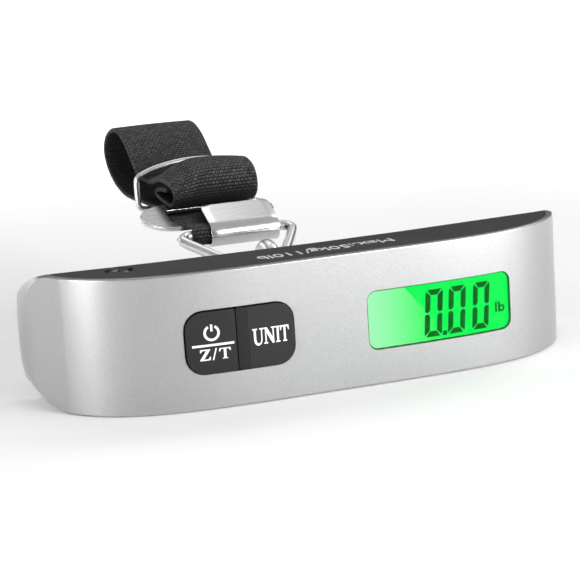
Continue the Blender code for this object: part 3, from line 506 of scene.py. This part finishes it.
def digit_segments(x, z, width=4.5, height=11.4, stroke=1.32, gap=0.16):
    """The six lit segments of a nought, mitred where they meet."""
    half = height / 2
    left, right, high, middle = 0, width, height, half
    g = gap / 2
    top = [(left + g + 0.35, high), (right - g - 0.35, high), (right - stroke - g, high - stroke),
           (left + stroke + g, high - stroke)]
    bottom = [(px, height - pz) for px, pz in reversed(top)]
    upper_left = [(left, middle + 0.35 + g), (stroke * 0.55, middle + g + 0.05), (stroke, middle + 0.75),
                  (stroke, high - stroke - 2 * g), (0.15, high - 0.4), (left, high - 0.75)]
    lower_left = [(px, height - pz) for px, pz in reversed(upper_left)]
    upper_right = [(width - px, pz) for px, pz in reversed(upper_left)]
    lower_right = [(width - px, pz) for px, pz in reversed(lower_left)]
    slant = 0.075
    return [[(x + px + pz * slant, z + pz) for px, pz in segment]
            for segment in (top, bottom, upper_left, lower_left, upper_right, lower_right)]


# ---------------------------------------------------------------- body

def make_body():
    top = (HEIGHT - 0.02) * MM

    def outer_rim(edge):
        """An edge of the silver shell's outer rim, round the dark faces."""
        ends = [vertex.co for vertex in edge.verts]
        level = all(end.z > top for end in ends) or all(end.z < 0.00002 for end in ends)
        wall = min(abs(face.normal.z) for face in edge.link_faces)
        middle = (ends[0] + ends[1]) / 2
        outside = middle.y < (front_y(middle.x / MM) + 0.8) * MM
        return level and wall < 0.3 and outside

    refined("front_shell", "silver_paint", "body", 0.12, 30, (0.85, outer_rim))
    refined("rear_housing", "black_plastic", "body", 0.16, 38)
    refined("battery_cap", "black_plastic", "battery_door", 0.2)
    refined("hook_bushing", "black_plastic", "body", 0.25)
    power = refined("power_button", "button_plastic", "power_key", 0.35, 40, segments=3)
    unit = refined("unit_button", "button_plastic", "unit_key", 0.35, 40, segments=3)
    bpy.context.view_layer.update()
    make_key_legends(power, unit)
    for side in ("top", "left", "right"):
        refined("cover_screw_" + side, "black_zinc", "body", 0.06)


def slab(name, flat, front, back, material):
    """A plate that follows the bowed front, from front to back, both set back from the shell's face."""
    def at(depth):
        return lambda across, up: (across, front_y(across) + depth, up)

    return piece_from(name, thickened(flat, at(front), at(back)), material, "body")


def rounded_rectangle(left, right, low, high, radius, steps=7):
    outline = []
    for x, z, start in ((left + radius, low + radius, 180), (right - radius, low + radius, 270),
                        (right - radius, high - radius, 0), (left + radius, high - radius, 90)):
        outline += arc((x, z), radius, start, start + 90, steps)
    return outline


def make_display():
    left, right, low, high = WINDOW

    def inset(step):
        return rounded_rectangle(left + step, right - step, low + step, high - step, WINDOW_CORNER - step)

    lens = slab("display_window", flat_outlines([inset(0.3)]), 0.38, 0.85, "clear_lens")
    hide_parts("display_lens")
    slab("display_picture", flat_outlines([inset(0.28)]), 1.1, 1.35, "display_glow")
    # Painted shade: a thin dark frame round the picture stands in for the shade of the window's recess walls.
    slab("display_shade_frame", flat_outlines([inset(0.03), inset(0.25)]), 0.3, 1.45, "display_ink")

    def on_picture(across, up):
        return (across, front_y(across) + 1.1, up), (0, -1, 0)

    marks = []
    for x in (21.1, 27.2, 33.7):
        marks += digit_segments(x, 9.3)
    marks.append([(25.85, 9.25), (26.95, 9.25), (27.03, 10.3), (25.93, 10.3)])
    print_on("display_digits", flat_outlines(marks), on_picture, "display_ink", "body")
    bowl, foot = (42.2, 13.4), 12.6
    marks = [[(40.35, foot), (40.85, foot), (40.85, foot + 2.5), (40.35, foot + 2.5)],
             [(41.2, foot), (41.68, foot), *arc(bowl, 0.86, 235, 485, 16), (41.68, foot + 2.5),
              (41.2, foot + 2.5)],
             arc(bowl, 0.42, 0, 345, 14)]
    print_on("display_unit", flat_outlines(marks), on_picture, "display_ink", "body")


def make_capacity_text():
    words = text_shape("Max.:50kg/110lb", 5.3, 0.03)
    width = max(vertex.co.x for vertex in words.verts)
    for vertex in words.verts:
        vertex.co.x -= width / 2
    turn = math.radians(3)

    def on_top(across, up):
        x = 0.5 - (across * math.cos(turn) - up * math.sin(turn))
        y = -10.6 - (across * math.sin(turn) + up * math.cos(turn))
        return (x, y, HEIGHT), (0, 0, 1)

    print_on("capacity_text", words, on_top, "legend_white", "body")


# ---------------------------------------------------------------- hook, ring and clamp

def make_metalwork():
    round_wire("triangle_ring", "satin_wire", "ring", 0.13)
    round_wire("strap_keeper", "satin_wire", "keeper", 0.12)
    refined("strap_slider", "polished_steel", "webbing", 0.3, 40, segments=4)
    for node, body in (("hook_nut", "hook"), ("hook_washer", "hook")):
        refined(node, "spring_steel", body, 0.15)
    make_hook()
    make_clamp()


def make_hook():
    """The hook: a round rod that ends in a forged eye."""
    shape = bmesh.new()
    turns, sides = 72, 24
    rings = []
    for i in range(turns):
        turn = 2 * math.pi * i / turns
        out = Vector((0, math.cos(turn), math.sin(turn)))
        ring = []
        for k in range(sides):
            a = 2 * math.pi * k / sides
            place = Vector((0, EYE_Y, PULL_Z)) + out * (EYE_RADIUS + EYE_WIRE * math.cos(a))
            ring.append(shape.verts.new((place + Vector((EYE_WIRE * math.sin(a), 0, 0))) * MM))
        rings.append(ring)
    for first, second in zip(rings, rings[1:] + rings[:1]):
        for k in range(sides):
            shape.faces.new((first[k], first[(k + 1) % sides], second[(k + 1) % sides], second[k]))
    start, end = -4.5, EYE_Y - EYE_RADIUS + 0.4
    middle = Matrix.Translation(Vector((0, (start + end) / 2, PULL_Z)) * MM)
    place = middle @ Matrix.Rotation(math.pi / 2, 4, "X")
    bmesh.ops.create_cone(shape, cap_ends=True, segments=32, radius1=ROD * MM, radius2=ROD * MM,
                          depth=(end - start) * MM, matrix=place)
    bmesh.ops.recalc_face_normals(shape, faces=shape.faces)
    hook = piece_from("load_hook_finish", shape, "satin_wire", "hook", 40)
    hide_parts("load_hook")


def make_clamp():
    """The folded plate that closes the webbing round the ring's bar, with its lip's corners rounded."""
    inner = RING_WIRE + 0.25 + WEB + 0.2
    plate, lip_angle, lip = 0.7, 23.0, 8.8
    middle = inner + plate / 2
    half, centre, corner = 9.6, 2.1, 1.9
    turn = arc((BAR_Y, BAR_Z), middle, 90 + lip_angle, 270, 26)
    along = (math.cos(math.radians(lip_angle)), math.sin(math.radians(lip_angle)))
    corner_rows = [corner * (1 - math.cos(math.pi / 2 * i / 6)) for i in range(6)]
    path = [(turn[0][0] + along[0] * (lip - s), turn[0][1] + along[1] * (lip - s)) for s in corner_rows]
    path += [(turn[0][0] + along[0] * s, turn[0][1] + along[1] * s) for s in (6.6, 4.4, 2.2)]
    path += turn + [(turn[-1][0] + 5.0, turn[-1][1] - 0.1)]
    widths = [half - corner + math.sqrt(max(0, corner ** 2 - (corner - s) ** 2)) for s in corner_rows]
    widths += [half] * (len(path) - len(widths))
    shape = bmesh.new()
    rows = []
    for (y, z), reach in zip(path, widths):
        rows.append([shape.verts.new(Vector((centre + reach * t / 4, y, z)) * MM) for t in range(-4, 5)])
    for first, second in zip(rows, rows[1:]):
        for i in range(8):
            shape.faces.new((first[i], first[i + 1], second[i + 1], second[i]))
    made = piece_from("strap_clamp_finish", shape, "polished_steel", "webbing", 50)
    solid = made.modifiers.new("Plate", "SOLIDIFY")
    solid.thickness = plate * MM
    solid.offset = 0
    solid.use_even_offset = True
    edge = made.modifiers.new("Edges", "BEVEL")
    edge.width = 0.16 * MM
    edge.segments = 2
    edge.limit_method = "ANGLE"
    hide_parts("strap_clamp")


# ---------------------------------------------------------------- webbing

def strap_path():
    """The webbing's centre line: Y, Z, how far its middle stands up, and how far its left edge hangs down."""
    wrap = RING_WIRE + 0.25 + WEB / 2
    path = [(69.0, BAR_Z - wrap - 0.1, 0, 0), (64.0, BAR_Z - wrap, 0, 0)]
    path += [(y, z, 0, 0) for y, z in arc((BAR_Y, BAR_Z), wrap, 270, 90, 8)]
    path += [(62.5, BAR_Z + wrap + 0.1, 0, 0.3), (65.0, 28.45, 0, 1.0), (69.2, 29.25, 0, 1.2),
             (73.8, 28.6, 0, 0.5), (78.4, 27.9, 0, 0), (83.2, 28.8, 0, 0),
             (90.0, LOWER_RUN_Z, 0, 0), (97.0, LOWER_RUN_Z, 0, 0),
             (104.0, LOWER_RUN_Z, 0, 0), (112.0, 29.0, 0, 0), (120.6, 29.4, 0, 0), (129.0, 31.8, 0, 0),
             (135.2, 36.0, 0, 0), (137.2, 40.6, 0, 0), (134.6, 44.8, 0, 0), (129.0, 47.4, 0.1, 0),
             (123.2, 47.7, 0.3, 0), (117.0, 45.4, 0.7, 0), (111.4, 41.2, 1.2, 0), (106.6, 37.5, 1.8, 0),
             (102.8, UPPER_RUN_Z + 0.1, 1.7, 0), (99.0, UPPER_RUN_Z, 1.8, 0),
             (94.8, UPPER_RUN_Z + 0.1, 1.9, 0.4),
             (89.6, 38.4, 1.8, 2.0), (84.6, 41.0, 1.4, 3.6), (79.6, 41.7, 0.9, 4.2), (75.2, 40.3, 0.5, 3.4),
             (73.0, 37.2, 0.2, 1.8), (73.4, 33.7, 0.1, 0.4), (76.8, 31.4, 0, 0), (83.2, 31.9, 0, 0),
             (88.0, 32.8, 0, 0), (89.4, 34.3, 0, 0.5), (87.2, 35.9, 0, 1.3), (83.0, 37.0, 0, 2.0),
             (79.0, 37.4, 0, 2.4)]
    return smooth_route(path, 8)


def even_steps(route, step):
    """The route resampled at equal steps of its length in Y and Z, with each place's distance along it."""
    lengths = [0.0]
    for a, b in zip(route, route[1:]):
        lengths.append(lengths[-1] + math.dist(a[:2], b[:2]))
    count = int(lengths[-1] / step)
    places, index = [], 0
    for i in range(count + 1):
        wanted = lengths[-1] * i / count
        while index < len(route) - 2 and lengths[index + 1] < wanted:
            index += 1
        share = (wanted - lengths[index]) / max(1e-9, lengths[index + 1] - lengths[index])
        places.append((*(a + (b - a) * share for a, b in zip(route[index], route[index + 1])), wanted))
    return places


def strap_section(steps=15):
    """The webbing's cross-section, anticlockwise: its place across and its height, with round edges."""
    half, thick = STRAP_HALF - WEB / 2, WEB / 2
    lower = [(-half + 2 * half * i / steps, -thick) for i in range(steps + 1)]
    upper = [(half - 2 * half * i / steps, thick) for i in range(steps + 1)]
    return lower + arc((half, 0), thick, -60, 60, 3) + upper + arc((-half, 0), thick, 120, 240, 3)


def make_strap():
    places = even_steps(strap_path(), RIB / 6)
    section = strap_section()
    shape = bmesh.new()
    web = shape.loops.layers.uv.new("web")
    rows = []
    for i, (y, z, camber, hang, along) in enumerate(places):
        before, after = places[max(0, i - 1)], places[min(len(places) - 1, i + 1)]
        tangent = Vector((0, after[0] - before[0], after[1] - before[1])).normalized()
        normal = Vector((0, -tangent.z, tangent.y))
        lean = STRAP_DRIFT * (y - BAR_Y)
        if z < LOWER_RUN_Z + 1:
            lean -= 1.3 * math.exp(-((y - 71) / 9) ** 2)
        upward = 1 if normal.z > 0 else -1
        row = []
        for across, up in section:
            rib = 0.15 * abs(math.sin(math.pi * along / RIB)) * (1 if abs(up) == WEB / 2 else 0.2)
            lift = camber * (1 - (across / STRAP_HALF) ** 2) * upward
            reach = up + math.copysign(rib, up) + lift
            low = hang * max(0.0, (-across - 2) / 10) ** 2
            place = Vector((lean + across, y + 0.4 * low, z - low)) + normal * reach
            row.append(shape.verts.new(place * MM))
        rows.append((row, along))
    count = len(section)
    for (first, s), (second, t) in zip(rows, rows[1:]):
        for i in range(count):
            j = (i + 1) % count
            face = shape.faces.new((first[i], first[j], second[j], second[i]))
            for loop, (k, along) in zip(face.loops, ((i, s), (j, s), (j, t), (i, t))):
                loop[web].uv = (section[k][0] + 20, along)
    shape.faces.new(rows[0][0][::-1])
    shape.faces.new(rows[-1][0])
    bmesh.ops.recalc_face_normals(shape, faces=shape.faces)
    strap = piece_from("strap_webbing", shape, "webbing", "webbing", 180)
    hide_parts("strap")


# ---------------------------------------------------------------- plain inner parts

def paint_inner_parts():
    """Inner parts keep their CAD shape and take a worked material."""
    slots = {entry["node"]: entry["material_slot"] for entry in frame["record"]["subparts"]}
    for name, node in frame["nodes"].items():
        slot = slots[name]
        material = {"display_glass": "diffuser"}.get(slot, slot)
        node.data.materials.clear()
        node.data.materials.append(MATERIALS[material])


# ---------------------------------------------------------------- stage, light and camera

def area_light(name, azimuth, elevation, reach, size, power):
    """A soft box that faces the scale, at an azimuth counted from the front towards the right."""
    turn, rise = math.radians(azimuth), math.radians(elevation)
    target = Vector((0, 0.02, 0.02))
    away = Vector((math.sin(turn) * math.cos(rise), -math.cos(turn) * math.cos(rise), math.sin(rise)))
    light = bpy.data.lights.new(name, "AREA")
    light.shape = "RECTANGLE"
    light.size, light.size_y = size
    light.energy = power
    made = bpy.data.objects.new(name, light)
    made.location = target + away * reach
    made.rotation_euler = (-away).to_track_quat("-Z", "Y").to_euler()
    bpy.context.scene.collection.objects.link(made)


def make_stage():
    mesh = bpy.data.meshes.new("floor")
    far = FLOOR_HALF
    mesh.from_pydata([(-far, -far, 0), (far, -far, 0), (far, far, 0), (-far, far, 0)], [], [(0, 1, 2, 3)])
    floor = bpy.data.objects.new("floor", mesh)
    floor.location.z = -0.0002
    bpy.context.scene.collection.objects.link(floor)
    made, tree, shader = shader_of("floor_paper_and_painted_glow", (0.95, 0.95, 0.95), 0.9)
    paper = noise(tree, object_space(tree), 60, 2.0)
    tree.links.new(ramp(tree, paper, (0.94, 0.94, 0.94), (0.96, 0.96, 0.96)), shader.inputs["Base Color"])
    # Painted light: the floor glows faintly within 9 cm of the scale and more strongly further out, up to 0.9
    # m, which leaves it dimmer round the scale.
    away = add_node(tree, "ShaderNodeVectorMath", operation="LENGTH")
    tree.links.new(object_space(tree), away.inputs[0])
    painted_floor_glow = add_node(tree, "ShaderNodeMapRange", interpolation_type="SMOOTHSTEP")
    for socket, value in (("From Min", 0.09), ("From Max", 0.9), ("To Min", 0.03), ("To Max", 0.9)):
        painted_floor_glow.inputs[socket].default_value = value
    tree.links.new(away.outputs["Value"], painted_floor_glow.inputs["Value"])
    tree.links.new(painted_floor_glow.outputs["Result"], shader.inputs["Emission Strength"])
    shader.inputs["Emission Color"].default_value = (1, 1, 1, 1)
    mesh.materials.append(made)
    world = bpy.data.worlds.new("studio")
    bpy.context.scene.world = world
    world.use_nodes = True
    tree = world.node_tree
    place = add_node(tree, "ShaderNodeTexCoord")
    split = add_node(tree, "ShaderNodeSeparateXYZ")
    tree.links.new(place.outputs["Generated"], split.inputs["Vector"])
    tree.links.new(ramp(tree, split.outputs["Z"], (0.03, 0.03, 0.03), (0.45, 0.45, 0.45), (0.22, 0.75)),
                   tree.nodes["Background"].inputs["Color"])
    for name, azimuth, elevation, reach, size, power in (
            ("key_low", 30, 12, 1.0, (0.45, 0.30), 9.5), ("right_strip", 55, 9, 0.7, (0.25, 0.22), 2.0),
            ("right_high", 120, 45, 1.1, (0.45, 0.50), 2.6), ("back_high", 180, 50, 1.1, (0.60, 0.50), 1.2),
            ("back_left", 210, 12, 1.0, (0.45, 0.30), 1.0), ("left_strip", -67, 9, 0.7, (0.10, 0.22), 2.4),
            ("end_strip", -80, 9, 0.7, (0.10, 0.22), 1.2)):
        area_light(name, azimuth, elevation, reach, size, power)


def make_camera():
    """The camera of the reference view: a long lens, left of the display and a little above it."""
    azimuth, elevation, roll = (math.radians(angle) for angle in CAMERA_DEGREES)
    forward = Vector((math.sin(azimuth) * math.cos(elevation), math.cos(azimuth) * math.cos(elevation),
                      -math.sin(elevation)))
    level = Vector((math.cos(azimuth), -math.sin(azimuth), 0))
    right = math.cos(roll) * level + math.sin(roll) * level.cross(forward)
    up = right.cross(forward)
    camera = bpy.data.cameras.new("camera")
    camera.sensor_width = 36.0
    camera.lens = CAMERA_LENS
    camera.clip_start = 0.01
    made = bpy.data.objects.new("camera", camera)
    basis = Matrix((right, up, -forward)).transposed().to_4x4()
    made.matrix_world = Matrix.Translation(Vector(CAMERA_PLACE) * MM) @ basis
    bpy.context.scene.collection.objects.link(made)
    bpy.context.scene.camera = made


make_materials()
paint_inner_parts()
make_body()
make_display()
make_capacity_text()
make_metalwork()
make_strap()
make_stage()
make_camera()
bpy.context.scene.view_settings.view_transform = "Standard"
